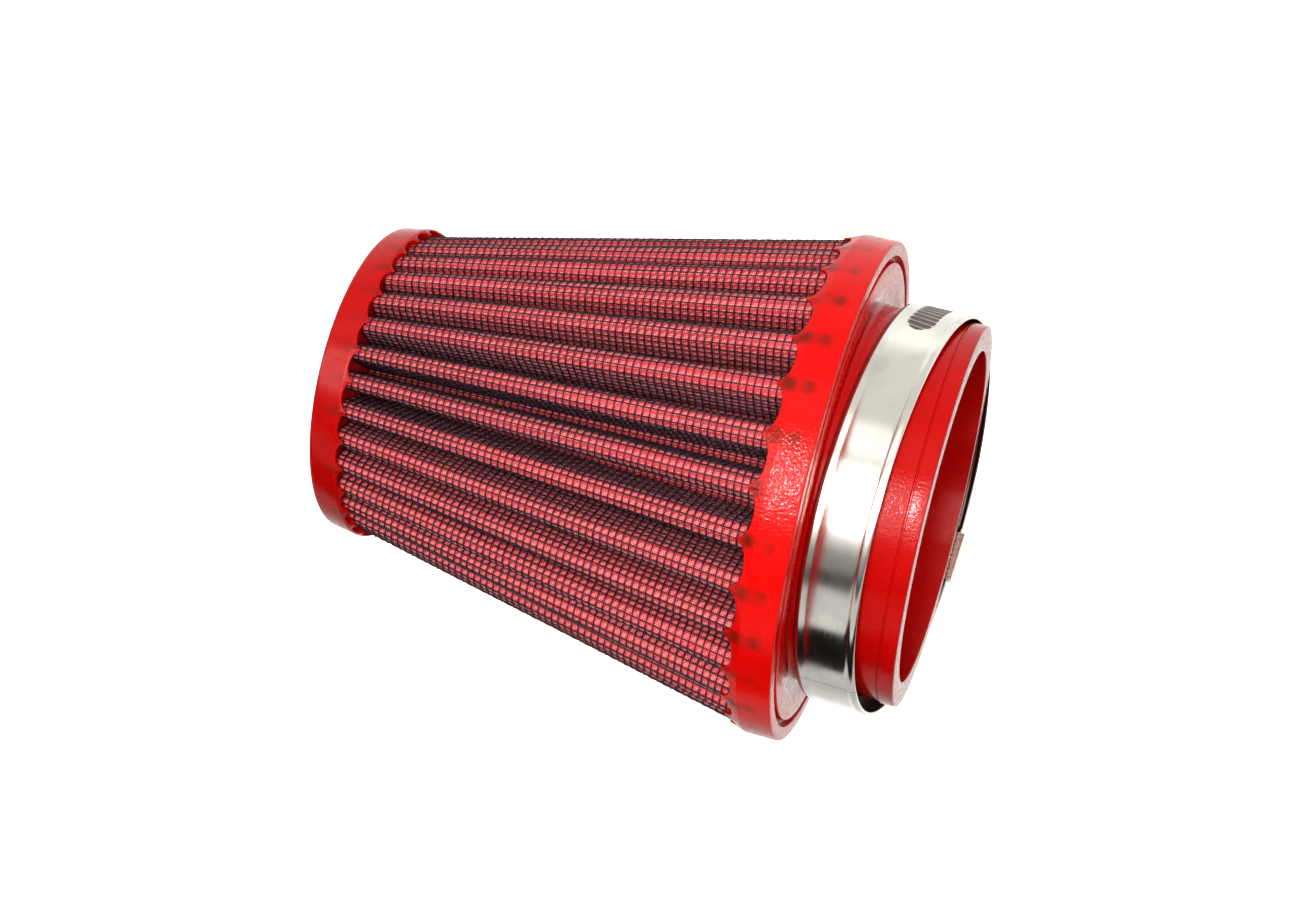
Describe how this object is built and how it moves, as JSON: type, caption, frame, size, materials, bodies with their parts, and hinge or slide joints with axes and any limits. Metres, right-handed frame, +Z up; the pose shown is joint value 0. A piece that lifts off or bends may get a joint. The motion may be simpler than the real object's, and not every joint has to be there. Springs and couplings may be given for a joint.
{
  "type": "clamp-on cone air filter",
  "caption": "Tapered pleated air filter with a moulded neck and flange, a closed end cap, wire mesh over cotton gauze and a loose worm-drive clamp.",
  "frame": {"origin": "centre of the neck's mouth end face, on the bore's axis", "axes": "+X out of the mouth along the bore, +Z up, the filter lying level as it is installed"},
  "size_m": [0.1298, 0.1064, 0.1064],
  "materials": {
    "polyurethane": "gloss",
    "coated_wire": "satin",
    "oiled_gauze": "matte",
    "seam_metal": "satin",
    "stainless_band": "polished",
    "plated_steel": "satin"
  },
  "bodies": {
    "filter": {"neck_flange": "polyurethane", "end_cap": "polyurethane", "outer_wire_mesh": "coated_wire", "cotton_gauze_ply_1": "oiled_gauze", "cotton_gauze_ply_2": "oiled_gauze", "cotton_gauze_ply_3": "oiled_gauze", "cotton_gauze_ply_4": "oiled_gauze", "inner_wire_mesh": "coated_wire", "seam_clip": "seam_metal"},
    "clamp": {"clamp_band_start": "stainless_band", "clamp_housing": "plated_steel"},
    "band": {"clamp_band": "stainless_band"},
    "screw": {"clamp_screw": "plated_steel"}
  },
  "joints": [
    {"name": "clamp_swivel", "type": "hinge", "parent": "filter", "child": "clamp", "pos_m": [-0.00995, 0, 0], "axis": [1, 0, 0], "continuous": true},
    {"name": "screw_turn", "type": "hinge", "parent": "clamp", "child": "screw", "pos_m": [-0.00511, 0.02483, -0.04032], "axis": [0.0421, 0.8383, 0.5435], "range_deg": [-720, 1800]},
    {"name": "band_feed", "type": "hinge", "parent": "clamp", "child": "band", "pos_m": [-0.00995, -0.00035, -0.0011], "axis": [-0.9938, 0.0913, -0.0639], "range_deg": [-6.8, 17]}
  ],
  "couplings": [
    {"joint": "band_feed", "follows": "screw_turn", "ratio": 0.00934}
  ]
}
